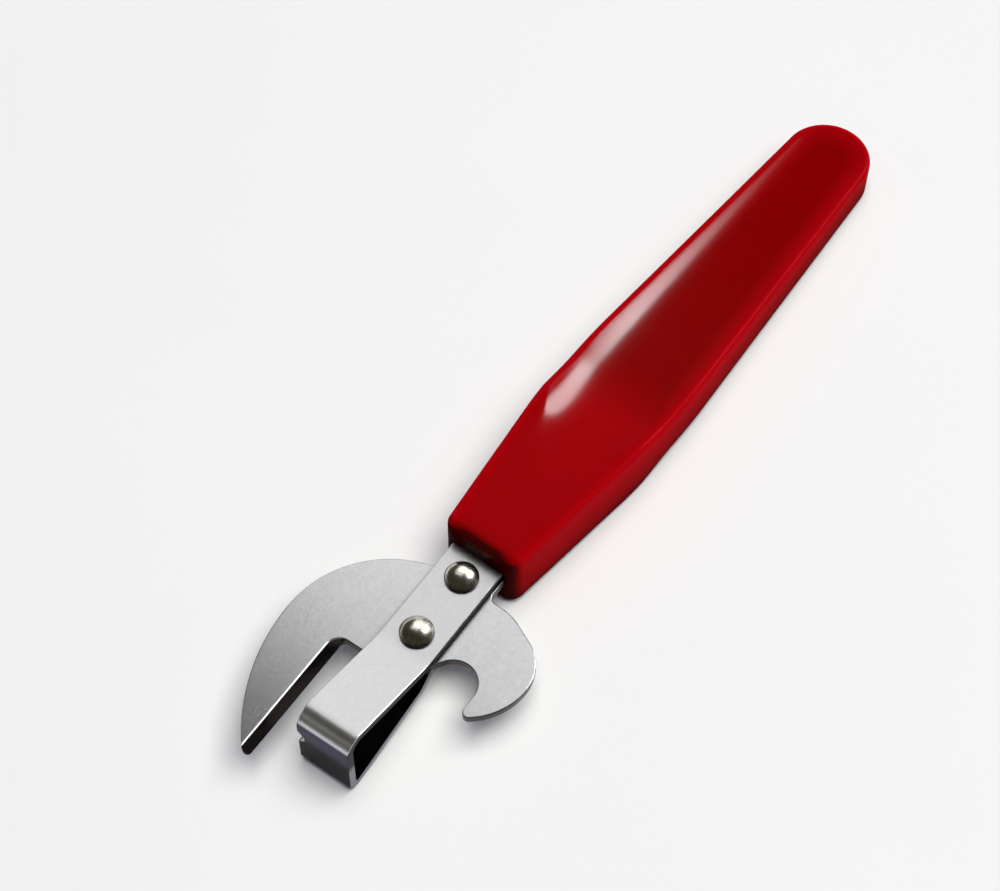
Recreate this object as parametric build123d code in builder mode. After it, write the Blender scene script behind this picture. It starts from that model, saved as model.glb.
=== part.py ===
from build123d import *
import os
from math import atan2, cos, degrees, radians, sin, tan

# Manual can opener: a stamped steel blade plate and a folded steel guide bracket, held together
# by two rivets, with a moulded plastic handle round the plate's tang.
#
# Frame: +X runs along the head towards the handle's butt, +Y towards the crescent blade and +Z up,
# to the side with the domed rivet heads. The origin is the middle of the flat land under the
# handle's front block. Head sketches are drawn on the blade plate's middle plane, from the point
# where the plate leaves the handle, so the head lies at negative X there.

# ---------------------------------------------------------------- driving sizes, millimetres
# Handle, measured along its own axis from its front face
handle_length = 122.8
handle_thickness = 13.0
handle_set = 2.0                 # degrees that the handle's axis turns away from the blade side
front_width = 15.9
front_growth = 0.226             # width gained for each millimetre behind the front face
flare_place = 34.2
flare_growth = 0.014
belly_place = 50.9
flare_blend_length = 5.0         # half the length over which one slope turns into the next
belly_blend_length = 5.0
rim_rounding = 1.0
front_corner = 2.6               # plan corners of the front face
butt_radius = 8.7
rest_place = 10.0                # middle of the flat land, behind the front face
station_count = 32               # sections that shape the scooped length

# Hand scoop on each side of the handle
scoop_radius = 20.0
scoop_ramp_place = 23.5
scoop_ramp_length = 8.0
scoop_slope = 0.25
scoop_floor_place = 40.9
scoop_floor_length = 5.0
scoop_floor_growth = 0.008       # the floor climbs this much for each millimetre towards the butt

# Blade plate
plate_thickness = 1.6
neck_width = 12.0
neck_fillet = 1.4
heel_setback = 5.0               # rear edge of crescent and hook, in front of the handle
tang_length = 42.0
tang_width = 10.0
tang_shoulder = 3.0
tang_corner = 3.0
anchor_place = 31.0
anchor_diameter = 5.0

# Crescent blade
crescent_rise = 22.6             # top of the crescent above the plate's axis
crescent_reach = 54.5            # point of the crescent, in front of the handle
crescent_point = 0.9
edge_offset = 10.55              # cutting edge beside the plate's axis
bevel_width = 1.8
hone_width = 0.13                # how far the honed facet cuts back the bevel's upper edge
hone_angle = 24.0                # between the facet and the plate's face
slot_end = 26.0                  # nose of the plate and closed end of the blade's slot
slot_corner = 1.0
bevel_runout = 2.7               # the bevel's round end stops this far in front of the slot's end

# Cap lifting hook
hook_depth = 21.7
hook_bottom = 15.65
hook_back_drop = 8.6             # the hook's straight back ends here
hook_back_lean = 25.7
hook_back_radius = 10.6
hook_back_flat = 3.9
hook_front_radius = 12.9
hook_point = 1.1
throat_radius = 4.45
throat_place = 22.1
throat_drop = 10.35
nose_drop = 2.1
nose_lean = 35.0
nose_corner = 0.5

# Guide bracket
strip_width = 11.0
strip_thickness = 1.7
strip_entry = 1.5                # how far the strip's end is moulded into the handle
rise_place = 23.0
rise_angle = 15.5
rise_bend_radius = 9.5
wall_reach = 44.0                # inner face of the front wall, in front of the handle
wall_drop = 7.2                  # inner corner at the wall's foot, below the plate's middle
brow_radius = 1.8
foot_radius = 0.5
return_angle = 11.5
bend_radius = 1.0                # of the return leg's other two bends
joggle_angle = 42.0
seat_start = 22.0                # foot of the seat under the plate
seat_end = 12.6

# Can rim notch in the side edge of the bracket's front wall
notch_depth = 1.5
notch_floor_top = 1.6
notch_floor_bottom = 0.4
notch_mouth_top = 3.1
notch_mouth_bottom = -1.2

# Rivets
rear_rivet_place = 4.9
rivet_pitch = 13.5
rivet_shank = 3.2
rivet_head_width = 6.3
rivet_head_height = 2.2
rivet_head_rim = 0.5
clinch_width = 4.6
clinch_height = 1.1
clinch_rim = 0.3

edge_break = 0.2                 # tumbled edges of the steel pieces
cut_margin = 2.0                 # how far a cutting tool passes the faces that it cuts

# ---------------------------------------------------------------- places that follow from them
half_plate = plate_thickness / 2
half_strip = strip_width / 2
half_neck = neck_width / 2
half_tang = tang_width / 2
half_handle = handle_thickness / 2
set_turn = radians(handle_set)
grip_direction = Vector(cos(set_turn), -sin(set_turn), 0)
head_origin = grip_direction * -rest_place + Vector(0, 0, half_handle)

head = Plane(origin=head_origin, x_dir=(1, 0, 0), z_dir=(0, 0, 1))
head_side = Plane(origin=head_origin, x_dir=(1, 0, 0), z_dir=(0, -1, 0))
grip = Plane(origin=head_origin, x_dir=grip_direction, z_dir=(0, 0, 1))
grip_side = Plane(origin=head_origin, x_dir=grip_direction, z_dir=grip.y_dir * -1)

rivet_places = {"rear_rivet": -rear_rivet_place, "front_rivet": -rear_rivet_place - rivet_pitch}


def heading(angle: float) -> Vector:
    """Give the unit vector at an angle from a sketch's X axis, in degrees."""
    return Vector(cos(radians(angle)), sin(radians(angle)))


# ---------------------------------------------------------------- blade plate
heel_x = -heel_setback
slot_x = -slot_end
hook_bottom_point = Vector(-hook_bottom, -hook_depth)
hook_back_top = Vector(heel_x, -hook_back_drop)
hook_back_turn = Vector(heel_x - hook_back_radius, -hook_back_drop)
hook_back_end = hook_back_turn + heading(-hook_back_lean) * hook_back_radius
hook_flat_end = hook_back_end + heading(-90 - hook_back_lean) * hook_back_flat
throat_centre = Vector(-throat_place, -throat_drop)
throat_bottom = throat_centre - Vector(0, throat_radius)
throat_start = throat_centre + heading(90 - nose_lean) * throat_radius
throat_side = throat_centre + heading(0) * throat_radius
nose_y = throat_start.Y + (throat_start.X - slot_x) * tan(radians(nose_lean))
hook_rise = throat_bottom.Y + hook_depth
hook_point_x = -hook_bottom - (hook_rise * (2 * hook_front_radius - hook_rise)) ** 0.5

crescent_apex = (slot_x, crescent_rise)
crescent_heel = (heel_x, half_neck)
crescent_tip = (-crescent_reach, edge_offset)
hook_tip = (hook_point_x, throat_bottom.Y)
nose_tip = (slot_x, nose_y)
bevel_round = edge_offset - slot_corner

with BuildPart() as blade_plate:
    with BuildSketch(head.offset(-half_plate)) as blank:
        with BuildLine():
            Line((tang_shoulder, half_neck), crescent_heel)
            TangentArc(crescent_apex, crescent_heel, tangent=(1, 0))
            TangentArc(crescent_apex, crescent_tip, tangent=(-1, 0))
            Polyline(crescent_tip, (slot_x, edge_offset), nose_tip, throat_start)
            ThreePointArc(throat_start, throat_side, throat_bottom)
            Line(throat_bottom, hook_tip)
            TangentArc(hook_bottom_point, hook_tip, tangent=(-1, 0))
            TangentArc(hook_bottom_point, hook_flat_end, tangent=(1, 0))
            Line(hook_flat_end, hook_back_end)
            TangentArc(hook_back_top, hook_back_end, tangent=(0, -1))
            Polyline(hook_back_top, (heel_x, -half_neck), (tang_shoulder, -half_neck))
            Polyline(
                (tang_shoulder, -half_neck),
                (tang_shoulder, -half_tang),
                (tang_length, -half_tang),
                (tang_length, half_tang),
                (tang_shoulder, half_tang),
                (tang_shoulder, half_neck),
            )
        make_face()
        for corners, radius in (
            ([crescent_heel, (heel_x, -half_neck)], neck_fillet),
            ([(tang_length, half_tang), (tang_length, -half_tang)], tang_corner),
            ([crescent_tip], crescent_point),
            ([(slot_x, edge_offset)], slot_corner),
            ([nose_tip], nose_corner),
            ([hook_tip], hook_point),
        ):
            fillet([blank.vertices().sort_by_distance(corner)[0] for corner in corners], radius)
        with Locations(*[(place, 0) for place in rivet_places.values()]):
            Circle(rivet_shank / 2, mode=Mode.SUBTRACT)
        with Locations((anchor_place, 0)):
            Circle(anchor_diameter / 2, mode=Mode.SUBTRACT)
    extrude(amount=plate_thickness)
    plate_top = blade_plate.faces().sort_by(Axis.Z)[-1]
    fillet(plate_top.outer_wire().edges(), edge_break)
    # The blade's bevel runs through the whole thickness and ends in a cone at the slot's end. A
    # flatter honed facet breaks its upper edge.
    for half_slot, depth, angle in (
        (slot_corner + bevel_width, plate_thickness, atan2(bevel_width, plate_thickness)),
        (slot_corner + bevel_width + hone_width, 2 * hone_width, radians(90 - hone_angle)),
    ):
        with BuildSketch(head.offset(half_plate)):
            with Locations((slot_x - bevel_runout - crescent_reach / 2, bevel_round)):
                SlotCenterToCenter(crescent_reach, 2 * half_slot)
        extrude(amount=-depth, taper=degrees(angle), mode=Mode.SUBTRACT)

blade_plate.part.label = "blade_plate"

# ---------------------------------------------------------------- guide bracket
# The strip is drawn along the middle of its thickness, from the handle round to the seat.
mid_strip = strip_thickness / 2
seat_z = half_plate + mid_strip
wall_x = -wall_reach - mid_strip
brow_z = seat_z + (-rise_place - wall_x) * tan(radians(rise_angle))
foot_z = -wall_drop - mid_strip
leg_slope = tan(radians(return_angle))
joggle_slope = tan(radians(joggle_angle))
leg_start_gap = foot_z + seat_z - wall_x * leg_slope - seat_start * joggle_slope
joggle_x = leg_start_gap / (joggle_slope - leg_slope)
joggle_z = foot_z + (joggle_x - wall_x) * leg_slope
mid_bend = bend_radius + mid_strip

with BuildPart() as guide_bracket:
    with BuildSketch(head_side):
        with BuildLine() as fold:
            FilletPolyline(
                (strip_entry, seat_z),
                (-rise_place, seat_z),
                (wall_x, brow_z),
                (wall_x, foot_z),
                (joggle_x, joggle_z),
                (-seat_start, -seat_z),
                (-seat_end, -seat_z),
                radius=[
                    rise_bend_radius + mid_strip,
                    brow_radius + mid_strip,
                    foot_radius + mid_strip,
                    mid_bend,
                    mid_bend,
                ],
            )
        trace(fold.line, strip_thickness)
    extrude(amount=half_strip, both=True)
    strip_sides = guide_bracket.faces().filter_by(Axis.Y)
    fillet(strip_sides.edges(), edge_break)
    with BuildSketch(head):
        with Locations(*[(place, 0) for place in rivet_places.values()]):
            Circle(rivet_shank / 2)
    extrude(amount=seat_z + strip_thickness, both=True, mode=Mode.SUBTRACT)
    wall_front = Plane(origin=head_origin - Vector(wall_reach + strip_thickness + cut_margin, 0, 0),
                       x_dir=(0, 1, 0), z_dir=(1, 0, 0))
    with BuildSketch(wall_front):
        Polygon(
            (half_strip + cut_margin, notch_mouth_top),
            (half_strip, notch_mouth_top),
            (half_strip - notch_depth, notch_floor_top),
            (half_strip - notch_depth, notch_floor_bottom),
            (half_strip, notch_mouth_bottom),
            (half_strip + cut_margin, notch_mouth_bottom),
            align=None,
        )
    extrude(amount=strip_thickness + 2 * cut_margin, mode=Mode.SUBTRACT)

guide_bracket.part.label = "guide_bracket"


# ---------------------------------------------------------------- rivets
def make_rivet(label: str, place: float, underside: float) -> Part:
    """Make one rivet through the stack of steel.

    The shank fills its holes, the dome stands on the strip, and the clinched end closes the
    stack on the face that lies underside below the plate's middle.
    """
    stack_top = half_plate + strip_thickness
    axis_side = Plane(origin=head_origin + Vector(place, 0, 0), x_dir=(1, 0, 0), z_dir=(0, -1, 0))
    dome_rim = stack_top + rivet_head_rim
    dome_top = stack_top + rivet_head_height
    clinch_edge = -underside - clinch_rim
    clinch_end = -underside - clinch_height
    with BuildPart() as rivet:
        with BuildSketch(axis_side):
            with BuildLine():
                Polyline(
                    (0, dome_top),
                    (0, clinch_end),
                )
                TangentArc((0, clinch_end), (clinch_width / 2, clinch_edge), tangent=(1, 0))
                Polyline(
                    (clinch_width / 2, clinch_edge),
                    (clinch_width / 2, -underside),
                    (rivet_shank / 2, -underside),
                    (rivet_shank / 2, stack_top),
                    (rivet_head_width / 2, stack_top),
                    (rivet_head_width / 2, dome_rim),
                )
                TangentArc((0, dome_top), (rivet_head_width / 2, dome_rim), tangent=(1, 0))
            make_face()
        revolve(axis=Axis(axis_side.origin, (0, 0, 1)))
    rivet.part.label = label
    return rivet.part


rivet_undersides = {"rear_rivet": half_plate, "front_rivet": half_plate + strip_thickness}
rivets = [make_rivet(label, rivet_places[label], rivet_undersides[label]) for label in rivet_places]

# ---------------------------------------------------------------- handle
block_end = scoop_ramp_place - scoop_ramp_length
butt_centre = handle_length - butt_radius
flare_width = front_width + front_growth * flare_place
belly_width = flare_width + flare_growth * (belly_place - flare_place)
belly_growth = (2 * butt_radius - belly_width) / (butt_centre - belly_place)


def bend(place: float, corner: float, blend: float) -> float:
    """Give the run past a corner, eased by a parabola over the blend on each side of it."""
    run = place - corner
    if abs(run) < blend:
        return (run + blend) ** 2 / (4 * blend)
    return max(run, 0)


def half_width(place: float) -> float:
    """Give the handle's half width at a place behind its front face."""
    flare = (flare_growth - front_growth) * bend(place, flare_place, flare_blend_length)
    belly = (belly_growth - flare_growth) * bend(place, belly_place, belly_blend_length)
    return (front_width + front_growth * place + flare + belly) / 2


def scoop_floor(place: float) -> float:
    """Give the height of the scoop's floor above the handle's middle plane."""
    ramp = scoop_slope * bend(place, scoop_ramp_place, scoop_ramp_length)
    level = (scoop_slope + scoop_floor_growth) * bend(place, scoop_floor_place, scoop_floor_length)
    return half_handle - ramp + level


def section_plane(place: float) -> Plane:
    """Give the plane across the handle, with its X axis towards the blade side."""
    return Plane(origin=head_origin + grip_direction * place, x_dir=grip.y_dir, z_dir=grip_direction)


def section(place: float, half: bool = False) -> Sketch:
    """Give the handle's section, or its half on the blade side.

    The section is flat on both faces in front, and further back it is scooped out on both.
    """
    side = half_width(place)
    floor = scoop_floor(place)
    rim = min(half_handle, floor + scoop_radius - (scoop_radius**2 - side**2) ** 0.5)
    with BuildSketch(section_plane(place)) as outline:
        with BuildLine():
            for face in (1, -1):
                if floor < rim:
                    ThreePointArc((-side * face, rim * face), (0, floor * face), (side * face, rim * face))
                else:
                    Line((-side * face, rim * face), (side * face, rim * face))
                Line((side * face, rim * face), (side * face, -rim * face))
        make_face()
        fillet(outline.vertices(), rim_rounding)
        if half:
            Rectangle(side, handle_thickness, align=(Align.MIN, Align.CENTER), mode=Mode.INTERSECT)
    return outline.sketch


station_step = (butt_centre - block_end) / station_count
stations = [block_end + station_step * (step + 1) for step in range(station_count)]
grip_axis = Axis(head_origin, grip_direction)
butt_axis = Axis(section_plane(butt_centre).origin, (0, 0, 1))

with BuildPart() as handle:
    with BuildSketch(grip.offset(-half_handle)):
        Polygon(
            (0, -half_width(0)),
            (block_end, -half_width(block_end)),
            (block_end, half_width(block_end)),
            (0, half_width(0)),
            align=None,
        )
    extrude(amount=handle_thickness)
    front_corners = handle.edges().filter_by(Axis.Z).sort_by(grip_axis)[:2]
    fillet(front_corners, front_corner)
    level_edges = handle.edges().filter_by(Axis.Z, reverse=True)
    square_back = handle.faces().sort_by(grip_axis)[-1]
    fillet(level_edges - square_back.edges(), rim_rounding)
    rounded_back = handle.faces().sort_by(grip_axis)[-1]
    loft([rounded_back, *[section(place) for place in stations]], ruled=True)
    revolve(section(butt_centre, half=True), axis=butt_axis, revolution_arc=-180)
    add(blade_plate.part, mode=Mode.SUBTRACT)
    add(guide_bracket.part, mode=Mode.SUBTRACT)

handle.part.label = "handle"

# ---------------------------------------------------------------- one STEP file for each piece
os.makedirs("parts", exist_ok=True)
for piece in (blade_plate.part, guide_bracket.part, *rivets, handle.part):
    export_step(piece, f"parts/{piece.label}.step")
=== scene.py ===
"""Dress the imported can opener: steel finishes, a smooth moulded handle, a pale floor and soft studio light."""

import logging
import math
from dataclasses import dataclass
from enum import Enum

import bmesh
import bpy
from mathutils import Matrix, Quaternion, Vector


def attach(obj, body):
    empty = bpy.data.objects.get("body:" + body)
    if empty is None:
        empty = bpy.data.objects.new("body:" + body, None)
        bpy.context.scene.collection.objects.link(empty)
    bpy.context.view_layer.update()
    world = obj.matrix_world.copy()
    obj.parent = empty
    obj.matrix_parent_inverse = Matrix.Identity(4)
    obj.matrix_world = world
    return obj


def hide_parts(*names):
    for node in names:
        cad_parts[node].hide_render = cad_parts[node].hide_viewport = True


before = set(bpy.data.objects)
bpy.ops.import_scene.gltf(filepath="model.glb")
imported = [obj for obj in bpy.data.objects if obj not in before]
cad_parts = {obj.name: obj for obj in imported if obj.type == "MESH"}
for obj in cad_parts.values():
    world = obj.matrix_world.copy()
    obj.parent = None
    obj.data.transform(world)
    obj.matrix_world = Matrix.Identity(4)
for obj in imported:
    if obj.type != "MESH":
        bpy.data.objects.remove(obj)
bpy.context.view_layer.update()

LOG = logging.getLogger("can_opener")
BODY = "root"
MM = 0.001
TINY = 1e-9
JOIN_DISTANCE = 1e-6
JOIN_DIGITS = 6

Colour = tuple[float, float, float]
Place = tuple[float, float, float]
Mark = tuple[float, float]


class Slot(Enum):
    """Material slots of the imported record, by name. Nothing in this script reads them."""

    HANDLE = "handle_plastic"


class Node(Enum):
    """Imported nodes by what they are."""

    PLATE = "blade_plate"
    BRACKET = "guide_bracket"
    REAR_RIVET = "rear_rivet"
    FRONT_RIVET = "front_rivet"
    HANDLE = "handle"


RIVETS = (Node.REAR_RIVET, Node.FRONT_RIVET)
TOP_STEEL = (Node.BRACKET, *RIVETS)
FLAT_STEEL = (Node.PLATE, Node.BRACKET)


# ---------------------------------------------------------------- node trees
@dataclass
class NodeSheet:
    """A node tree that is being filled in.

    Args:
        tree: The material's, world's or group's node tree.
    """

    tree: bpy.types.NodeTree

    def add(self, kind: str, inputs: dict | None = None, **settings: object) -> bpy.types.Node:
        """Add a node, with its settings and the values or links of its inputs.

        Args:
            kind: The node's type name.
            inputs: Socket name or number to a value, or to an output socket to link from.
            **settings: Attributes of the node.

        Returns:
            The new node.
        """
        node = self.tree.nodes.new(kind)
        for name, value in settings.items():
            setattr(node, name, value)
        for name, value in (inputs or {}).items():
            self.feed(node.inputs[name], value)
        return node

    def feed(self, socket: bpy.types.NodeSocket, value: object) -> None:
        """Link an output into a socket, or set the socket's own value.

        Args:
            socket: The input socket.
            value: An output socket, a number or a tuple.
        """
        if isinstance(value, bpy.types.NodeSocket):
            self.tree.links.new(value, socket)
        else:
            socket.default_value = value

    def math(self, operation: str, *values: object, clamp: bool = False) -> bpy.types.NodeSocket:
        """Add a Math node.

        Args:
            operation: Blender's name for it.
            *values: Numbers or output sockets.
            clamp: Whether the result is held between 0 and 1.

        Returns:
            Its output.
        """
        node = self.add("ShaderNodeMath", dict(enumerate(values)), operation=operation, use_clamp=clamp)
        return node.outputs[0]

    def step(self, value: object, low: float, high: float) -> bpy.types.NodeSocket:
        """Add a smooth step from 0 at low to 1 at high.

        Args:
            value: The output that is read.
            low: Where the step is 0. It may be above high.
            high: Where the step is 1.

        Returns:
            The step's output.
        """
        inputs = {"Value": value, "From Min": low, "From Max": high}
        return self.add("ShaderNodeMapRange", inputs, interpolation_type="SMOOTHSTEP").outputs[0]

    def remap(self, value: object, low: float, high: float) -> bpy.types.NodeSocket:
        """Spread a 0 to 1 value evenly over low to high.

        Args:
            value: The output that is read.
            low: The result at 0.
            high: The result at 1.

        Returns:
            The result's output.
        """
        return self.add("ShaderNodeMapRange", {"Value": value, "To Min": low, "To Max": high}).outputs[0]

    def mix(self, mask: object, first: object, second: object) -> bpy.types.NodeSocket:
        """Mix two colours.

        Args:
            mask: Share of the second.
            first: Colour or output at 0.
            second: Colour or output at 1.

        Returns:
            The mixed colour.
        """
        node = self.add("ShaderNodeMix", {"Factor": mask}, data_type="RGBA")
        for number, colour in ((6, first), (7, second)):
            if isinstance(colour, tuple):
                colour = (*colour, 1.0)
            self.feed(node.inputs[number], colour)
        return node.outputs[2]

    def place(self) -> bpy.types.NodeSocket:
        """Give the place on the object, in metres of the shared frame."""
        return self.add("ShaderNodeTexCoord").outputs["Object"]


class EffectGroup:
    """Base for the shader effects that several finishes share, each one node group."""

    title = ""
    sockets: tuple[tuple[str, str, str], ...] = ()

    def __init__(self) -> None:
        """Make the group with its sockets and fill it."""
        self.group = bpy.data.node_groups.new(self.title, "ShaderNodeTree")
        for name, side, kind in self.sockets:
            self.group.interface.new_socket(name, in_out=side, socket_type=kind)
        sheet = NodeSheet(self.group)
        given = sheet.add("NodeGroupInput").outputs
        results = self.fill(sheet, given)
        sheet.add("NodeGroupOutput", results)

    def fill(self, sheet: NodeSheet, given: bpy.types.bpy_prop_collection) -> dict:
        """Build the effect.

        Args:
            sheet: The group's tree.
            given: The group's inputs.

        Returns:
            Output name to the socket that feeds it.
        """
        raise NotImplementedError

    def use(self, sheet: NodeSheet, **inputs: object) -> bpy.types.bpy_prop_collection:
        """Place the effect in a material.

        Args:
            sheet: The material's tree.
            **inputs: The group's inputs, with _ for a space.

        Returns:
            The group node's outputs.
        """
        node = sheet.add("ShaderNodeGroup", node_tree=self.group)
        for name, value in inputs.items():
            sheet.feed(node.inputs[name.replace("_", " ")], value)
        return node.outputs


class BrushedGrain(EffectGroup):
    """Fine parallel lines left by rolling and polishing, as a value and a normal."""

    title = "brushed_grain"
    sockets = (
        ("Place", "INPUT", "NodeSocketVector"),
        ("Scale", "INPUT", "NodeSocketFloat"),
        ("Along", "INPUT", "NodeSocketVector"),
        ("Strength", "INPUT", "NodeSocketFloat"),
        ("Value", "OUTPUT", "NodeSocketFloat"),
        ("Normal", "OUTPUT", "NodeSocketVector"),
    )
    fine_share = 0.65
    coarse_share = 0.35
    coarse_scale = 0.27
    relief = 0.02 * MM

    def fill(self, sheet: NodeSheet, given: bpy.types.bpy_prop_collection) -> dict:
        """Build the grain from two stretched noises. See the base class."""
        stretched = sheet.add(
            "ShaderNodeVectorMath", {0: given["Place"], 1: given["Along"]}, operation="MULTIPLY"
        ).outputs[0]
        fine = sheet.add(
            "ShaderNodeTexNoise",
            {"Vector": stretched, "Scale": given["Scale"], "Detail": 4.0, "Roughness": 0.65},
        ).outputs[0]
        coarse_scale = sheet.math("MULTIPLY", given["Scale"], self.coarse_scale)
        coarse = sheet.add(
            "ShaderNodeTexNoise", {"Vector": stretched, "Scale": coarse_scale, "Detail": 2.0}
        ).outputs[0]
        value = sheet.math(
            "ADD",
            sheet.math("MULTIPLY", fine, self.fine_share),
            sheet.math("MULTIPLY", coarse, self.coarse_share),
        )
        normal = sheet.add(
            "ShaderNodeBump", {"Height": value, "Strength": given["Strength"], "Distance": self.relief}
        ).outputs[0]
        return {"Value": value, "Normal": normal}


class Scratches(EffectGroup):
    """Sparse thin scratches in mixed directions, as a mask."""

    title = "handling_scratches"
    sockets = (
        ("Place", "INPUT", "NodeSocketVector"),
        ("Scale", "INPUT", "NodeSocketFloat"),
        ("Amount", "INPUT", "NodeSocketFloat"),
        ("Mask", "OUTPUT", "NodeSocketFloat"),
    )
    turns = (0.35, 1.3, 2.3)
    stretch = 0.06
    width = 0.02
    patch_scale = 1.7
    patches = (0.6, 0.7)

    def fill(self, sheet: NodeSheet, given: bpy.types.bpy_prop_collection) -> dict:
        """Build the scratches from turned and stretched cell edges. See the base class."""
        mask: bpy.types.NodeSocket | float = 0.0
        for turn in self.turns:
            turned = sheet.add(
                "ShaderNodeMapping",
                {"Vector": given["Place"], "Rotation": (0, 0, turn), "Scale": (1.0, self.stretch, 1.0)},
                vector_type="TEXTURE",
            ).outputs[0]
            shrunk = sheet.add(
                "ShaderNodeMapping", {"Vector": turned, "Scale": (self.stretch, 1.0, 1.0)}
            ).outputs[0]
            cells = sheet.add(
                "ShaderNodeTexVoronoi",
                {"Vector": shrunk, "Scale": given["Scale"], "Randomness": 1.0},
                feature="DISTANCE_TO_EDGE",
            ).outputs[0]
            line = sheet.step(cells, self.width, 0.0)
            where = sheet.add(
                "ShaderNodeTexNoise",
                {"Vector": shrunk, "Scale": sheet.math("MULTIPLY", given["Scale"], self.patch_scale)},
            ).outputs[0]
            kept = sheet.math("MULTIPLY", line, sheet.step(where, *self.patches))
            mask = sheet.math("MAXIMUM", mask, kept)
        return {"Mask": sheet.math("MULTIPLY", mask, given["Amount"])}


class Mottle(EffectGroup):
    """Slow clouding of a surface, as a mask."""

    title = "slow_mottle"
    sockets = (
        ("Place", "INPUT", "NodeSocketVector"),
        ("Scale", "INPUT", "NodeSocketFloat"),
        ("Mask", "OUTPUT", "NodeSocketFloat"),
    )
    clouds = (0.32, 0.68)

    def fill(self, sheet: NodeSheet, given: bpy.types.bpy_prop_collection) -> dict:
        """Build the clouding from one noise. See the base class."""
        cloud = sheet.add(
            "ShaderNodeTexNoise", {"Vector": given["Place"], "Scale": given["Scale"], "Detail": 3.0}
        ).outputs[0]
        return {"Mask": sheet.step(cloud, *self.clouds)}


class Crevices(EffectGroup):
    """Painted shade in places that the object's own pieces shut in, as a mask."""

    title = "crevice_painted_shade"
    sockets = (
        ("Reach", "INPUT", "NodeSocketFloat"),
        ("Open", "INPUT", "NodeSocketFloat"),
        ("Shut", "INPUT", "NodeSocketFloat"),
        ("Mask", "OUTPUT", "NodeSocketFloat"),
    )
    samples = 8

    def fill(self, sheet: NodeSheet, given: bpy.types.bpy_prop_collection) -> dict:
        """Build the mask from how much of the surroundings is near. See the base class."""
        free = sheet.add("ShaderNodeAmbientOcclusion", {"Distance": given["Reach"]}, samples=self.samples)
        return {"Mask": sheet.step(free.outputs["AO"], given["Open"], given["Shut"])}


class Wear(EffectGroup):
    """Fine pits and short bright scuffs of used steel, as a height and two masks."""

    title = "used_steel_wear"
    sockets = (
        ("Place", "INPUT", "NodeSocketVector"),
        ("Scale", "INPUT", "NodeSocketFloat"),
        ("Height", "OUTPUT", "NodeSocketFloat"),
        ("Stain", "OUTPUT", "NodeSocketFloat"),
        ("Scuff", "OUTPUT", "NodeSocketFloat"),
    )
    slow_scale = 0.3
    scuff_scale = 0.9
    scuff_turn = 0.9
    scuff_pull = 0.07
    fine_share = 0.6
    slow_share = 0.4
    stains = (0.36, 0.64)
    scuffs = (0.64, 0.72)
    patches = (0.42, 0.58)

    def fill(self, sheet: NodeSheet, given: bpy.types.bpy_prop_collection) -> dict:
        """Build the wear from three noises. See the base class."""
        fine = sheet.add(
            "ShaderNodeTexNoise",
            {"Vector": given["Place"], "Scale": given["Scale"], "Detail": 5.0, "Roughness": 0.7},
        ).outputs[0]
        slow_scale = sheet.math("MULTIPLY", given["Scale"], self.slow_scale)
        slow = sheet.add(
            "ShaderNodeTexNoise",
            {"Vector": given["Place"], "Scale": slow_scale, "Detail": 4.0, "Roughness": 0.6},
        ).outputs[0]
        pulled = sheet.add(
            "ShaderNodeMapping",
            {
                "Vector": given["Place"],
                "Rotation": (0, 0, self.scuff_turn),
                "Scale": (self.scuff_pull, 1.0, 1.0),
            },
        ).outputs[0]
        scuff_scale = sheet.math("MULTIPLY", given["Scale"], self.scuff_scale)
        scuff = sheet.add(
            "ShaderNodeTexNoise", {"Vector": pulled, "Scale": scuff_scale, "Detail": 2.0}
        ).outputs[0]
        both = sheet.math(
            "ADD",
            sheet.math("MULTIPLY", fine, self.fine_share),
            sheet.math("MULTIPLY", slow, self.slow_share),
        )
        kept = sheet.math("MULTIPLY", sheet.step(scuff, *self.scuffs), sheet.step(slow, *self.patches))
        return {"Height": fine, "Stain": sheet.step(both, *self.stains), "Scuff": kept}


@dataclass(frozen=True)
class Effects:
    """The shared effects, each made once.

    Args:
        grain: Brushed lines.
        scratches: Handling scratches.
        mottle: Slow clouding.
        crevices: Painted shade in shut-in places.
        wear: Pits and scuffs of used steel.
    """

    grain: BrushedGrain
    scratches: Scratches
    mottle: Mottle
    crevices: Crevices
    wear: Wear


# ---------------------------------------------------------------- finishes
def new_material(title: str) -> tuple[bpy.types.Material, NodeSheet, bpy.types.Node]:
    """Make a material with a Principled BSDF on its output.

    Args:
        title: The material's name.

    Returns:
        The material, its sheet and its shader node.
    """
    material = bpy.data.materials.new(title)
    material.use_nodes = True
    material.node_tree.nodes.clear()
    sheet = NodeSheet(material.node_tree)
    shader = sheet.add("ShaderNodeBsdfPrincipled")
    sheet.add("ShaderNodeOutputMaterial", {"Surface": shader.outputs[0]})
    return material, sheet, shader


def dimmed(colour: Colour, share: float) -> Colour:
    """Give a colour with each part at a share of itself."""
    return tuple(share * part for part in colour)


class CutAndShadeFaces(Enum):
    """Which faces take the dark edge colour, partly the real dullness of punched and ground steel and partly
    painted shade, as on the bracket's wall and the rivets' dome rims: how upright the normal is where that
    starts and where it is full.
    """

    SHEARED_AND_SHADE = (0.5, 0.3)
    GROUND_AND_SHADE = (0.88, 0.78)
    DOME_RIM_SHADE = (0.70, 0.56)


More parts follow.
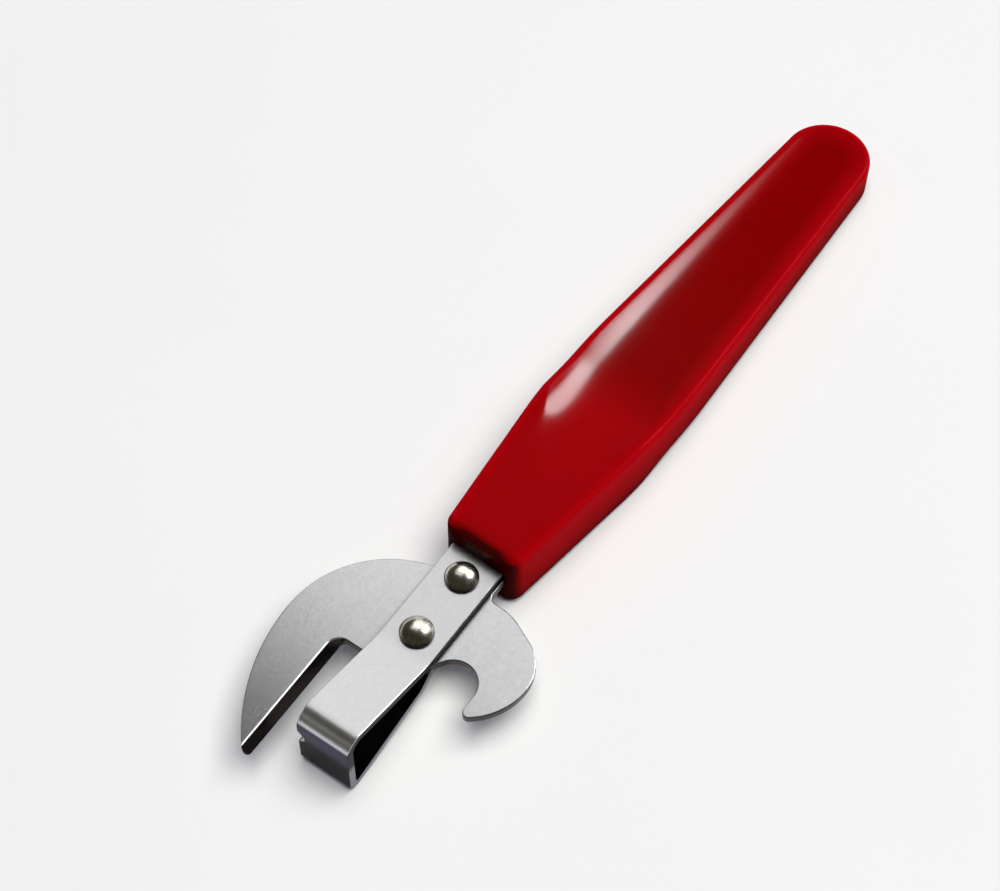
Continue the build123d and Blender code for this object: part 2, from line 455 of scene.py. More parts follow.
@dataclass(frozen=True)
class SteelFinish:
    """Used steel with brushed grain, stains, scuffs, dark edges that are partly painted shade, and painted shade
    in its corners.

    Args:
        title: Material name.
        colour: Clean steel.
        stain: Steel where it is stained.
        cut_edge_and_shade: Steel of the punched edges and the ground bevel, which also stands as painted shade
            on upright faces such as the bracket's wall.
        painted_shade: Colour of the painted shade in shut-in places, inside the bracket's loop and towards the
            foot of its wall.
        smooth: Lowest roughness.
        rough: Highest roughness.
        grain_scale: Lines per metre, roughly.
        grain_along: Stretch of the grain on each axis.
        grain_strength: Strength of the grain's bump.
        scuffs: Share of the bright scuffs that shows.
        scratches: Share of the scratches that shows.
        cut_and_shade_faces: Which faces take that dark colour, partly as real edges and partly as painted shade.
        hollow_below: Height under which faces that look up are inside the bracket's loop and get painted shade,
            in metres.
        reach: How near a face has to be to shut a place in, in metres.
        open_share: Share of open sky where the painted shade starts.
        shut_share: Share of open sky where the painted shade is full.
        edge_tint: Share of the sheen that stays at flat angles.
        low_side: Painted light: the lighter colour of side faces under hollow_below, where side faces higher up
            get a darker painted shade.
    """

    title: str
    colour: Colour
    stain: Colour
    cut_edge_and_shade: Colour
    painted_shade: Colour
    smooth: float
    rough: float
    grain_scale: float
    grain_along: Place
    grain_strength: float
    scuffs: float
    scratches: float
    cut_and_shade_faces: CutAndShadeFaces
    hollow_below: float = -1.0
    reach: float = 3.0 * MM
    open_share: float = 0.82
    shut_share: float = 0.32
    edge_tint: float = 1.0
    low_side: Colour = (0.30, 0.29, 0.34)

    wear_scale = 3200.0
    scratch_scale = 90.0
    scratch_share = 0.7
    scuff_colour = (0.95, 0.95, 0.95)
    scuff_roughness = 0.1
    pit_strength = 0.25
    pit_depth = 0.02 * MM
    side_leans = (0.5, 0.8)
    side_share = 0.4
    side_blend = 2.0 * MM
    upward_leans = (0.2, 0.4)
    hollow_blend = 1.0 * MM
    front_leans = (0.5, 0.7)
    front_blend = 4.0 * MM
    wall_foot_shade = 0.95

    def make(self, effects: Effects) -> bpy.types.Material:
        """Build the material.

        Args:
            effects: The shared node groups.

        Returns:
            The material.
        """
        material, sheet, shader = new_material(self.title)
        place = sheet.place()
        grain = effects.grain.use(
            sheet, Place=place, Scale=self.grain_scale, Along=self.grain_along, Strength=self.grain_strength
        )
        wear = effects.wear.use(sheet, Place=place, Scale=self.wear_scale)
        scratch = effects.scratches.use(
            sheet, Place=place, Scale=self.scratch_scale, Amount=self.scratches
        )["Mask"]
        colour = sheet.mix(wear["Stain"], self.stain, self.colour)
        colour = sheet.mix(scratch, colour, dimmed(self.colour, self.scratch_share))
        colour = sheet.mix(sheet.math("MULTIPLY", wear["Scuff"], self.scuffs), colour, self.scuff_colour)
        normal = sheet.add("ShaderNodeTexCoord").outputs["Normal"]
        lean = sheet.add("ShaderNodeSeparateXYZ", {0: normal}).outputs
        height = sheet.add("ShaderNodeSeparateXYZ", {0: place}).outputs["Z"]
        # Side faces: painted shade dims them high up, and painted light makes them lighter under hollow_below.
        sideways = sheet.step(sheet.math("ABSOLUTE", lean["Y"]), *self.side_leans)
        lifted = sheet.step(height, self.hollow_below, self.hollow_below + self.side_blend)
        side = sheet.mix(lifted, self.low_side, dimmed(self.cut_edge_and_shade, self.side_share))
        cut_edge_and_shade = sheet.mix(sideways, self.cut_edge_and_shade, side)
        # Upright faces take the dark edge colour, partly the real dullness of punched and ground steel and
        # partly painted shade.
        colour = sheet.mix(sheet.step(sheet.math("ABSOLUTE", lean["Z"]), *self.cut_and_shade_faces.value), colour, cut_edge_and_shade)
        # Painted shade: near-black where the pieces shut a place in, on upward faces inside the bracket's loop,
        # and on the bracket's wall towards its foot.
        shut = effects.crevices.use(
            sheet, Reach=self.reach, Open=self.open_share, Shut=self.shut_share
        )["Mask"]
        hollow = sheet.math(
            "MULTIPLY",
            sheet.step(height, self.hollow_below + self.hollow_blend, self.hollow_below),
            sheet.step(lean["Z"], *self.upward_leans),
        )
        upright = sheet.math(
            "MULTIPLY",
            sheet.step(height, self.hollow_below + self.front_blend, self.hollow_below + self.hollow_blend),
            sheet.step(sheet.math("ABSOLUTE", lean["X"]), *self.front_leans),
        )
        upright = sheet.math("MULTIPLY", upright, self.wall_foot_shade)
        shade_mask = sheet.math("MAXIMUM", shut, sheet.math("MAXIMUM", hollow, upright))
        sheet.feed(shader.inputs["Base Color"], sheet.mix(shade_mask, colour, self.painted_shade))
        roughness = sheet.math(
            "ADD",
            sheet.remap(grain["Value"], self.smooth, self.rough),
            sheet.math("MULTIPLY", wear["Scuff"], self.scuff_roughness),
        )
        sheet.feed(shader.inputs["Roughness"], roughness)
        bump = sheet.add(
            "ShaderNodeBump",
            {
                "Height": wear["Height"],
                "Normal": grain["Normal"],
                "Strength": self.pit_strength,
                "Distance": self.pit_depth,
            },
        )
        sheet.feed(shader.inputs["Normal"], bump.outputs[0])
        shader.inputs["Metallic"].default_value = 1.0
        shader.inputs["Specular Tint"].default_value = (self.edge_tint, self.edge_tint, self.edge_tint, 1.0)
        return material


@dataclass(frozen=True)
class PlasticFinish:
    """Glossy moulded plastic, a little translucent, with painted light at its thin rims and on the block and
    painted shade on its front and where the steel shuts it in.

    Args:
        title: Material name.
        deep: The plastic's colour away from the painted rim light.
        glow: Painted light at the thin rims and on the block's top.
        shadowed: Painted shade where the steel shuts it in, and on the front.
        roughness: Gloss.
        depth: How far red light travels inside, in metres.
    """

    title: str
    deep: Colour
    glow: Colour
    shadowed: Colour
    roughness: float
    depth: float

    cloud_scale = 55.0
    cloud_shares = (0.85, 1.0)
    cloud_roughness = 1.3
    scratch_scale = 60.0
    scratch_roughness = 0.12
    reach = 13.0 * MM
    open_share = 0.85
    shut_share = 0.45
    front_leans = (-0.35, -0.8)
    front_marks = (0.0, -1.0)
    front_share = 0.85
    wave_scale = 260.0
    wave_strength = 0.12
    wave_depth = 0.05 * MM
    spread = (1.0, 0.06, 0.06)
    coat_ior = 1.5

    def make(self, effects: Effects) -> bpy.types.Material:
        """Build the material.

        Args:
            effects: The shared node groups.

        Returns:
            The material.
        """
        material, sheet, shader = new_material(self.title)
        place = sheet.place()
        rim = sheet.add("ShaderNodeAttribute", attribute_name=Grip.rim_mark).outputs["Fac"]
        cloud = effects.mottle.use(sheet, Place=place, Scale=self.cloud_scale)["Mask"]
        scratch = effects.scratches.use(sheet, Place=place, Scale=self.scratch_scale, Amount=1.0)["Mask"]
        # Painted light: the handle's marks make the rims and the block's top lighter.
        share = sheet.math("MULTIPLY", rim, sheet.remap(cloud, *self.cloud_shares), clamp=True)
        shut = effects.crevices.use(
            sheet, Reach=self.reach, Open=self.open_share, Shut=self.shut_share
        )["Mask"]
        normal = sheet.add("ShaderNodeTexCoord").outputs["Normal"]
        lean = sheet.add("ShaderNodeSeparateXYZ", {0: normal}).outputs
        # Painted shade on the front face and the front end of the marks, joined to the crevice shade.
        front = sheet.math(
            "MAXIMUM", sheet.step(lean["X"], *self.front_leans), sheet.step(rim, *self.front_marks)
        )
        shut = sheet.math("MAXIMUM", shut, sheet.math("MULTIPLY", front, self.front_share))
        body = sheet.mix(share, self.deep, self.glow)
        sheet.feed(shader.inputs["Base Color"], sheet.mix(shut, body, self.shadowed))
        rough = sheet.math(
            "ADD",
            sheet.remap(cloud, self.roughness, self.roughness * self.cloud_roughness),
            sheet.math("MULTIPLY", scratch, self.scratch_roughness),
        )
        sheet.feed(shader.inputs["Roughness"], rough)
        waves = sheet.add(
            "ShaderNodeTexNoise", {"Vector": place, "Scale": self.wave_scale, "Detail": 2.0}
        ).outputs[0]
        bump = sheet.add(
            "ShaderNodeBump", {"Height": waves, "Strength": self.wave_strength, "Distance": self.wave_depth}
        )
        sheet.feed(shader.inputs["Normal"], bump.outputs[0])
        shader.subsurface_method = "RANDOM_WALK"
        shader.inputs["Subsurface Weight"].default_value = 1.0
        shader.inputs["Subsurface Radius"].default_value = self.spread
        shader.inputs["Subsurface Scale"].default_value = self.depth
        gloss = sheet.add("ShaderNodeAttribute", attribute_name=Grip.gloss_mark).outputs["Fac"]
        sheet.feed(shader.inputs["Coat Weight"], gloss)
        shader.inputs["Coat Roughness"].default_value = self.roughness
        shader.inputs["Coat IOR"].default_value = self.coat_ior
        shader.inputs["Specular IOR Level"].default_value = 0.0
        return material


@dataclass(frozen=True)
class PaperFinish:
    """Matt white paper for the floor.

    Args:
        title: Material name.
        colour: The paper.
        fibre: The paper where its fibres are darker.
    """

    title: str
    colour: Colour
    fibre: Colour

    cloud_scale = 9.0
    roughness = 0.9

    def make(self, effects: Effects) -> bpy.types.Material:
        """Build the material.

        Args:
            effects: The shared node groups.

        Returns:
            The material.
        """
        material, sheet, shader = new_material(self.title)
        cloud = effects.mottle.use(sheet, Place=sheet.place(), Scale=self.cloud_scale)["Mask"]
        sheet.feed(shader.inputs["Base Color"], sheet.mix(cloud, self.colour, self.fibre))
        shader.inputs["Roughness"].default_value = self.roughness
        shader.inputs["Specular IOR Level"].default_value = 0.0
        return material


# ---------------------------------------------------------------- mesh helper
def mesh_object(title: str, points: list[Vector], faces: list[tuple[int, ...]]) -> bpy.types.Object:
    """Make a smooth-shaded mesh object, with double points joined and faces turned outwards.

    Args:
        title: The object's and the mesh's name.
        points: Vertices in metres.
        faces: Vertex numbers of each face.

    Returns:
        The object, linked to the scene.
    """
    mesh = bpy.data.meshes.new(title)
    mesh.from_pydata(points, [], faces)
    work = bmesh.new()
    work.from_mesh(mesh)
    bmesh.ops.remove_doubles(work, verts=work.verts, dist=JOIN_DISTANCE)
    bmesh.ops.recalc_face_normals(work, faces=work.faces)
    work.to_mesh(mesh)
    work.free()
    mesh.shade_smooth()
    made = bpy.data.objects.new(title, mesh)
    bpy.context.scene.collection.objects.link(made)
    return made


# ---------------------------------------------------------------- handle
@dataclass
class Grip:
    """The moulded handle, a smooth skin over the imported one. Sizes are millimetres.

    A section across the handle is its half width, the height of its upper face and a rounded rim.
    The face is flat in front and scooped behind, and the lower half mirrors the upper.
    Places are measured behind the front face.
    """

    # plan and rim
    length: float = 122.8
    half_thickness: float = 6.5
    set_degrees: float = 2.0
    rest_place: float = 10.0
    front_width: float = 15.9
    front_growth: float = 0.226
    flare_place: float = 34.2
    flare_growth: float = 0.014
    belly_place: float = 50.9
    width_blend: float = 5.0
    rim_radius: float = 1.0
    front_corner: float = 2.6
    butt_radius: float = 8.7

    # scoop, its ramp and the soft brow round it
    scoop_radius: float = 20.0
    ramp_place: float = 23.5
    ramp_blend: float = 8.0
    ramp_slope: float = 0.25
    floor_place: float = 40.9
    floor_blend: float = 5.0
    floor_growth: float = 0.008
    nose_place: float = 18.0
    nose_flatness: float = 50.0
    brow_blend: float = 0.16
    brow_fade: float = 2.0

    # mesh
    face_points: int = 18
    rim_points: int = 8
    side_points: int = 3
    front_rings: int = 9
    face_inset: float = 0.94
    ring_pitch: float = 0.8
    butt_steps: int = 40
    least_rim: float = 0.05
    slope_probe: float = 0.01
    slope_rounds: int = 12

    # marks for the finish: painted light where thin rims would let light through and on the block, painted shade
    # at the front, and the gloss that is left
    glow_width: float = 5.0
    side_fade: float = 0.6
    block_glow: float = 0.55
    block_blend: float = 12.0
    front_fade: float = 5.0
    front_dark: float = 2.0
    front_shade: float = 2.6
    dull_rim: float = 1.3
    dull_nose: float = 0.9
    dull_blend: float = 0.8
    dull_gloss: float = 0.03
    dull_length: float = 14.0
    rubbed_from: float = 58.0
    rubbed_length: float = 62.0
    rubbed_power: float = 2.3
    nose_gloss: float = 0.6
    plain_glow: float = 0.5

    rim_mark = "painted_rim_light_and_front_shade"
    gloss_mark = "palm_gloss"

    def bend(self, place: float, corner: float, blend: float) -> float:
        """Give the run past a corner, eased over the blend on each side of it.

        Args:
            place: Distance behind the front face.
            corner: Where the run starts.
            blend: Half the eased length.

        Returns:
            The run in millimetres.
        """
        run = place - corner
        if abs(run) < blend:
            return (run + blend) ** 2 / (4 * blend)
        return max(run, 0.0)

    def half_width(self, place: float) -> float:
        """Give the half width at a place behind the front face.

        Args:
            place: Distance behind the front face.

        Returns:
            The half width.
        """
        flare_width = self.front_width + self.front_growth * self.flare_place
        belly_width = flare_width + self.flare_growth * (self.belly_place - self.flare_place)
        belly_run = self.length - self.butt_radius - self.belly_place
        belly_growth = (2 * self.butt_radius - belly_width) / belly_run
        flare = (self.flare_growth - self.front_growth) * self.bend(place, self.flare_place, self.width_blend)
        belly = (belly_growth - self.flare_growth) * self.bend(place, self.belly_place, self.width_blend)
        return (self.front_width + self.front_growth * place + flare + belly) / 2

    def scoop_drop(self, place: float) -> float:
        """Give how far the scoop's floor lies under the flat face, on the handle's axis.

        Args:
            place: Distance behind the front face.

        Returns:
            The drop.
        """
        ramp = self.ramp_slope * self.bend(place, self.ramp_place, self.ramp_blend)
        level = (self.ramp_slope + self.floor_growth) * self.bend(place, self.floor_place, self.floor_blend)
        return ramp - level

    def face_height(self, place: float, across: float) -> float:
        """Give the upper face's height over the middle plane.

        Args:
            place: Distance behind the front face.
            across: Distance from the handle's axis.

        Returns:
            The height, flat or scooped, with a soft brow between.
        """
        start = self.ramp_place - self.ramp_blend
        end = self.ramp_place + self.ramp_blend
        drop = self.scoop_drop(place)
        if place <= self.nose_place or drop <= TINY:
            return self.half_thickness
        radius = self.scoop_radius
        if place < end:
            spread = 2 * self.scoop_drop(end) / (end - self.nose_place)
            radius *= min(self.nose_flatness, spread * (place - self.nose_place) / (2 * drop))
        depth = drop - (radius - math.sqrt(radius**2 - across**2))
        eased = (depth + math.sqrt(depth**2 + self.brow_blend**2)) / 2
        fade = min(1.0, max(0.0, (place - start) / self.brow_fade))
        return self.half_thickness - eased * fade

    def quarter(self, place: float) -> list[tuple[float, float, float]]:
        """Give the section's upper quarter, from the middle of the face to the side's middle.

        Args:
            place: Distance behind the front face.

        Returns:
            Distance across, height and distance from the side of each point, below 0 down the side.
        """
        corner = self.front_corner
        inset = corner - math.sqrt(max(corner**2 - max(corner - place, 0.0) ** 2, 0.0))
        side = self.half_width(place) - inset
        rim = self.rim_radius
        lowered = rim - math.sqrt(max(rim**2 - max(rim - place, 0.0) ** 2, 0.0))
        rim = max(rim - lowered, self.least_rim)

        def height(across: float) -> float:
            """Give the rounded section's face height at a distance across."""
            return self.face_height(place, across) - lowered

        reach = side - rim
        slope = 0.0
        for _ in range(self.slope_rounds):
            rise = height(reach + self.slope_probe) - height(reach - self.slope_probe)
            slope = rise / (2 * self.slope_probe)
            reach = side - rim - rim * slope / math.hypot(1.0, slope)
        centre_height = height(reach) - rim / math.hypot(1.0, slope)
        start_angle = math.pi / 2 + math.atan(slope)
        points = []
        for step in range(self.face_points):
            across = reach * step / self.face_points
            points.append((across, height(across), side - across))
        for step in range(self.rim_points + 1):
            angle = start_angle * (1 - step / self.rim_points)
            across = side - rim + rim * math.cos(angle)
            points.append((across, centre_height + rim * math.sin(angle), side - across))
        for step in range(1, self.side_points + 1):
            share = step / self.side_points
            points.append((side, centre_height * (1 - share), -share))
        return points

    def ring(self, place: float) -> list[tuple[float, float, float]]:
        """Give the whole section, once round from the upper face's middle towards the blade side.

        Args:
            place: Distance behind the front face.

        Returns:
            Distance across, height and distance from the side of each point.
        """
        upper = self.quarter(place)
        half = upper + [(across, -height, edge) for across, height, edge in reversed(upper[:-1])]
        return half + [(-across, height, edge) for across, height, edge in reversed(half[1:-1])]

    def spot(self, place: float, across: float, height: float) -> Vector:
        """Give a place of the handle in the shared frame, in metres.

        Args:
            place: Distance behind the front face.
            across: Distance from the handle's axis, towards the blade side.
            height: Height over the middle plane.

        Returns:
            The point.
        """
        turn = math.radians(self.set_degrees)
        run = place - self.rest_place
        x = run * math.cos(turn) + across * math.sin(turn)
        y = -run * math.sin(turn) + across * math.cos(turn)
        return Vector((x, y, height + self.half_thickness)) * MM

    def places(self) -> list[float]:
        """Give the places of the rings, close together where the front is rounded."""
        butt = self.length - self.butt_radius
        front = [
            self.front_corner * (1 - math.cos(math.pi / 2 * step / self.front_rings))
            for step in range(self.front_rings + 1)
        ]
        count = math.ceil((butt - self.front_corner) / self.ring_pitch)
        pitch = (butt - self.front_corner) / count
        return front + [self.front_corner + pitch * (step + 1) for step in range(count)]

    def build(self) -> bpy.types.Object:
        """Build the skin from its rings, its front face and its round butt.

        Returns:
            The handle's object.
        """
        points: list[Vector] = []
        marks: list[Mark] = []
        faces: list[tuple[int, ...]] = []
        rings = []
        inset = [
            (across * self.face_inset, height * self.face_inset, edge)
            for across, height, edge in self.ring(0.0)
        ]
        sections = [(0.0, inset)] + [(place, self.ring(place)) for place in self.places()]
        for place, ring in sections:
            rings.append(range(len(points), len(points) + len(ring)))
            points += [self.spot(place, across, height) for across, height, _ in ring]
            marks += [self.mark(place, edge) for _, _, edge in ring]
        for first, second in zip(rings, rings[1:]):
            count = len(first)
            faces += [
                (first[i], first[(i + 1) % count], second[(i + 1) % count], second[i]) for i in range(count)
            ]
        faces.append(tuple(reversed(rings[0])))
        self.add_butt(points, marks, faces)
        made = mesh_object("handle_grip", points, faces)
        self.write_marks(made, points, marks)
        return made

    def mark(self, place: float, edge: float) -> Mark:
        """Give a point's marks for the finish.

        Args:
            place: Distance behind the front face.
            edge: Distance from the side, below 0 down the side.

        Returns:
            The painted light at rims and on the block, less the painted shade at the front, and the gloss that
            hands have left of the polish.
        """
        # Painted light for thin rims and the block's top, less painted shade near the front face.
        thin = 1.0 + self.side_fade * edge if edge < 0 else max(0.0, 1.0 - edge / self.glow_width)
        block = min(1.0, max(0.0, place / self.front_fade))
        block *= min(1.0, max(0.0, (self.belly_place - place) / self.block_blend))
        shaded = self.front_dark * max(0.0, 1.0 - place / self.front_shade)
        glow = max(thin, self.block_glow * block) - shaded
        rubbed = min(1.0, max(0.0, (place - self.rubbed_from) / self.rubbed_length))
        nose = min(1.0, max(0.0, (self.belly_place - place) / self.dull_length))
        polished = min(1.0, max(0.0, (edge - self.dull_rim - self.dull_nose * nose) / self.dull_blend))
        polished *= (1.0 - rubbed) ** self.rubbed_power * (1.0 - (1.0 - self.nose_gloss) * nose)
        return glow, self.dull_gloss + (1.0 - self.dull_gloss) * polished

    def add_butt(self, points: list[Vector], marks: list[Mark], faces: list[tuple[int, ...]]) -> None:
        """Add the round butt, the last section's half turned about its own upright axis.

        Args:
            points: Vertices, which grow.
            marks: Marks of each vertex, which grow.
            faces: Faces, which grow.
        """
        butt = self.length - self.butt_radius
        upper = self.quarter(butt)
        half = upper + [(across, -height, edge) for across, height, edge in reversed(upper[:-1])]
        count = len(half)
        base = len(points)
        for step in range(self.butt_steps + 1):
            angle = math.pi * step / self.butt_steps
            for across, height, edge in half:
                points.append(self.spot(butt + across * math.sin(angle), across * math.cos(angle), height))
                marks.append(self.mark(butt, edge))
        for step in range(self.butt_steps):
            row = base + step * count
            for i in range(count - 1):
                faces.append((row + i, row + i + 1, row + count + i + 1, row + count + i))

    def write_marks(self, made: bpy.types.Object, points: list[Vector], marks: list[Mark]) -> None:
        """Write the marks on the mesh for the finish to read.

        Args:
            made: The handle's object, whose double points have been joined.
            points: The vertices before that.
            marks: Their marks.
        """
        known = {tuple(round(part, JOIN_DIGITS) for part in point): mark for point, mark in zip(points, marks)}
        plain = (self.plain_glow, self.dull_gloss)
        layers = [made.data.attributes.new(name, "FLOAT", "POINT") for name in (self.rim_mark, self.gloss_mark)]
        for number, vertex in enumerate(made.data.vertices):
            mark = known.get(tuple(round(part, JOIN_DIGITS) for part in vertex.co), plain)
            for layer, value in zip(layers, mark):
                layer.data[number].value = value

    def dress(self, made: bpy.types.Object, finish: bpy.types.Material) -> None:
        """Give the handle its finish and its place in the frame.

        Args:
            made: The handle's object.
            finish: Its material.
        """
        made.data.materials.append(finish)
        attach(made, BODY)
        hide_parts(Node.HANDLE.value)
        LOG.info("%s: %d vertices", made.name, len(made.data.vertices))


# ---------------------------------------------------------------- steel head
@dataclass
class SteelHead:
    """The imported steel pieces, which keep their shapes and get their finishes here."""

    # The near-black colours below are painted shade; the dark edge colours are partly real and partly painted
    # shade.
    plate: SteelFinish = SteelFinish(
        title="satin_plate_steel",
        colour=(0.66, 0.665, 0.68),
        stain=(0.60, 0.605, 0.62),
        cut_edge_and_shade=(0.055, 0.045, 0.042),
        painted_shade=(0.015, 0.014, 0.013),
        smooth=0.20,
        rough=0.30,
        grain_scale=520.0,
        grain_along=(0.35, 1.0, 1.0),
        grain_strength=0.35,
        scuffs=0.2,
        scratches=0.5,
        cut_and_shade_faces=CutAndShadeFaces.GROUND_AND_SHADE,
    )
    strip: SteelFinish = SteelFinish(
        title="bright_strip_steel",
        colour=(0.72, 0.72, 0.73),
        stain=(0.66, 0.66, 0.675),
        cut_edge_and_shade=(0.075, 0.070, 0.105),
        painted_shade=(0.012, 0.011, 0.012),
        smooth=0.27,
        rough=0.36,
        grain_scale=420.0,
        grain_along=(0.3, 1.0, 0.3),
        grain_strength=0.2,
        scuffs=0.2,
        scratches=0.4,
        cut_and_shade_faces=CutAndShadeFaces.SHEARED_AND_SHADE,
        hollow_below=5.2 * MM,
        reach=2.2 * MM,
        open_share=0.55,
        shut_share=0.15,
        edge_tint=0.6,
    )
    rivet: SteelFinish = SteelFinish(
        title="polished_rivet_steel",
        colour=(0.78, 0.775, 0.75),
        stain=(0.50, 0.47, 0.33),
        cut_edge_and_shade=(0.10, 0.09, 0.08),
        painted_shade=(0.02, 0.018, 0.014),
        smooth=0.21,
        rough=0.28,
        grain_scale=700.0,
        grain_along=(1.0, 1.0, 1.0),
        grain_strength=0.2,
        scuffs=0.4,
        scratches=0.3,
        cut_and_shade_faces=CutAndShadeFaces.DOME_RIM_SHADE,
        reach=1.2 * MM,
    )

    def dress(self, effects: Effects) -> None:
        """Put each finish on its nodes.

        Args:
            effects: The shared node groups.
        """
        rivet_steel = self.rivet.make(effects)
        finishes = {
            Node.PLATE: self.plate.make(effects),
            Node.BRACKET: self.strip.make(effects),
            Node.REAR_RIVET: rivet_steel,
            Node.FRONT_RIVET: rivet_steel,
        }
        for node, finish in finishes.items():
            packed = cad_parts[node.value]
            packed.data.materials.clear()
            packed.data.materials.append(finish)
            LOG.info("%s: %s", node.value, finish.name)


# ---------------------------------------------------------------- studio
class Sees(Enum):
    """What a light panel gives: mirrored highlights, or even light."""

    GLOSS = "highlights"
    MATT = "the even light on the plastic and the floor"


@dataclass(frozen=True)
class Panel:
    """A soft light panel that faces the tool.

    Args:
        title: Its name.
        direction: From the tool to the panel.
        distance: In metres.
        size: Width and height in metres.
        glow: Radiance of its face.
        sees: Which surfaces it serves.
        roll: Turn about the line to the tool, in degrees.
        nodes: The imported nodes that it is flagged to, or none for everything.
    """

    title: str
    direction: Place
    distance: float
    size: tuple[float, float]
    glow: float
    sees: Sees
    roll: float = 0.0
    nodes: tuple[Node, ...] = ()

    def build(self, target: Vector) -> None:
        """Hang the panel.

        Args:
            target: The point that it faces.
        """
        light = bpy.data.lights.new(self.title, "AREA")
        light.shape = "RECTANGLE"
        light.size, light.size_y = self.size
        light.energy = self.glow * math.pi * self.size[0] * self.size[1]
        lamp = bpy.data.objects.new(self.title, light)
        towards = Vector(self.direction).normalized()
        lamp.location = target + towards * self.distance
        lamp.rotation_mode = "QUATERNION"
        roll = Quaternion((0.0, 0.0, 1.0), math.radians(self.roll))
        lamp.rotation_quaternion = towards.to_track_quat("Z", "Y") @ roll
        lamp.visible_glossy = self.sees is not Sees.MATT
        lamp.visible_diffuse = self.sees is Sees.MATT
        if self.nodes:
            served = bpy.data.collections.new(f"{self.title}_pieces")
            for node in self.nodes:
                served.objects.link(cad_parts[node.value])
            lamp.light_linking.receiver_collection = served
        bpy.context.scene.collection.objects.link(lamp)
        LOG.info("%s at %s", self.title, tuple(round(part, 3) for part in lamp.location))


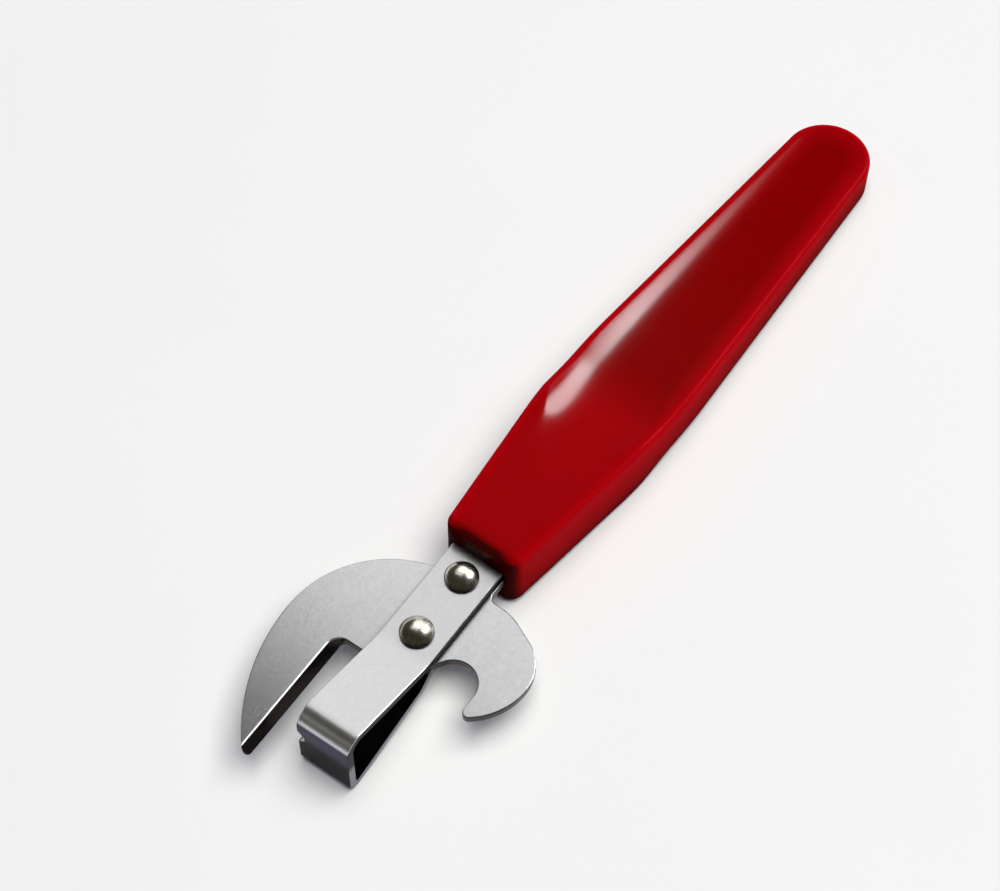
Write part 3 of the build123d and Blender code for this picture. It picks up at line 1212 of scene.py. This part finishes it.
@dataclass
class Studio:
    """The floor, the light and the camera."""

    target: Place = (0.013156, 0.01176, 0.0065)
    camera_back: Place = (-0.4378, -0.3087, 0.8444)
    camera_distance: float = 0.4456
    lens: float = 86.4
    floor_size: float = 4.0
    paper: PaperFinish = PaperFinish("white_paper", (0.91, 0.905, 0.85), (0.90, 0.895, 0.84))
    air: Colour = (0.045, 0.050, 0.120)
    reflected_air: Colour = (0.038, 0.035, 0.024)
    panels: tuple[Panel, ...] = (
        Panel("key_box", (0.681, -0.362, 0.636), 1.6, (0.44, 0.90), 15.0, Sees.GLOSS, 45.0),
        Panel("plate_card", (0.092, 0.088, 0.2435), 0.273, (0.11, 0.24), 1.15, Sees.GLOSS, 41.5, (Node.PLATE,)),
        Panel("strip_card", (0.137, 0.098, 0.2635), 0.313, (0.36, 0.24), 0.97, Sees.GLOSS, 49.5, TOP_STEEL),
        Panel("edge_card", (0.32, -0.45, 0.84), 0.8, (0.36, 0.26), 2.2, Sees.GLOSS, 0.0, (Node.PLATE,)),
        Panel("rivet_card", (0.76, 0.02, 0.60), 0.8, (1.35, 1.0), 1.0, Sees.GLOSS, 0.0, RIVETS),
        Panel("far_card", (0.70, 0.66, 0.27), 0.9, (1.1, 0.45), 0.75, Sees.GLOSS, 0.0, FLAT_STEEL),
        Panel("near_card", (-0.45, -0.79, 0.42), 0.9, (1.3, 0.6), 0.6, Sees.GLOSS, 0.0, FLAT_STEEL),
        Panel("side_card", (-0.50, 0.79, 0.42), 0.9, (1.0, 0.6), 0.6, Sees.GLOSS, 0.0, FLAT_STEEL),
        Panel("top_card", (-0.15, -0.12, 1.0), 0.9, (0.35, 0.35), 0.3, Sees.GLOSS, 0.0, FLAT_STEEL),
        Panel("soft_fill", (0.12, -0.19, 0.98), 2.2, (1.9, 1.9), 5.2, Sees.MATT),
    )

    def resting_slope(self) -> tuple[float, float, float]:
        """Find the plane that the tool rests on, by its foot and the handle's block.

        Returns:
            The foot's X and Z, and the plane's climb for each metre of X.
        """
        foot = min((v.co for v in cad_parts[Node.BRACKET.value].data.vertices), key=lambda co: co.z)
        block = [v.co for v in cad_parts[Node.HANDLE.value].data.vertices]
        slope = min((co.z - foot.z) / (co.x - foot.x) for co in block)
        return foot.x, foot.z, slope

    def floor(self, effects: Effects) -> None:
        """Lay the paper under the tool.

        Args:
            effects: The shared node groups.
        """
        foot_x, foot_z, slope = self.resting_slope()
        half = self.floor_size / 2
        corners = [
            Vector((x, y, foot_z + slope * (x - foot_x)))
            for x, y in ((-half, -half), (half, -half), (half, half), (-half, half))
        ]
        paper = mesh_object("paper_floor", corners, [(0, 1, 2, 3)])
        paper.data.materials.append(self.paper.make(effects))
        LOG.info("floor climbs %.4f from x %.4f z %.4f", slope, foot_x, foot_z)

    def light(self) -> None:
        """Hang the panels and set the air's even glow, which polished surfaces show darker."""
        for panel in self.panels:
            panel.build(Vector(self.target))
        world = bpy.data.worlds.new("studio_air")
        bpy.context.scene.world = world
        world.use_nodes = True
        world.node_tree.nodes.clear()
        sheet = NodeSheet(world.node_tree)
        reflected = sheet.add("ShaderNodeLightPath").outputs["Is Glossy Ray"]
        colour = sheet.mix(reflected, self.air, self.reflected_air)
        glow = sheet.add("ShaderNodeBackground", {"Color": colour})
        sheet.add("ShaderNodeOutputWorld", {"Surface": glow.outputs[0]})

    def camera(self) -> None:
        """Set the camera at its angle to the tool."""
        lens = bpy.data.cameras.new("studio_camera")
        lens.lens = self.lens
        lens.sensor_width = 36.0
        camera = bpy.data.objects.new("studio_camera", lens)
        back = Vector(self.camera_back).normalized()
        camera.location = Vector(self.target) + back * self.camera_distance
        camera.rotation_mode = "QUATERNION"
        camera.rotation_quaternion = (-back).to_track_quat("-Z", "Y")
        bpy.context.scene.collection.objects.link(camera)
        bpy.context.scene.camera = camera

    def build(self, effects: Effects) -> None:
        """Build the whole studio.

        Args:
            effects: The shared node groups.
        """
        self.camera()
        self.light()
        self.floor(effects)
        bpy.context.scene.view_settings.view_transform = "Standard"


def main() -> None:
    """Build the studio, then dress the tool piece by piece."""
    logging.basicConfig(level=logging.INFO, format="%(name)s: %(message)s")
    effects = Effects(BrushedGrain(), Scratches(), Mottle(), Crevices(), Wear())
    Studio().build(effects)
    SteelHead().dress(effects)
    grip = Grip()
    # glow is painted light at the rims and on the block; shadowed is painted shade.
    plastic = PlasticFinish(
        title="red_moulded_plastic",
        deep=(0.24, 0.0005, 0.0010),
        glow=(0.44, 0.0015, 0.005),
        shadowed=(0.012, 0.0004, 0.0006),
        roughness=0.16,
        depth=1.0 * MM,
    )
    grip.dress(grip.build(), plastic.make(effects))


if __name__ == "__main__":
    main()
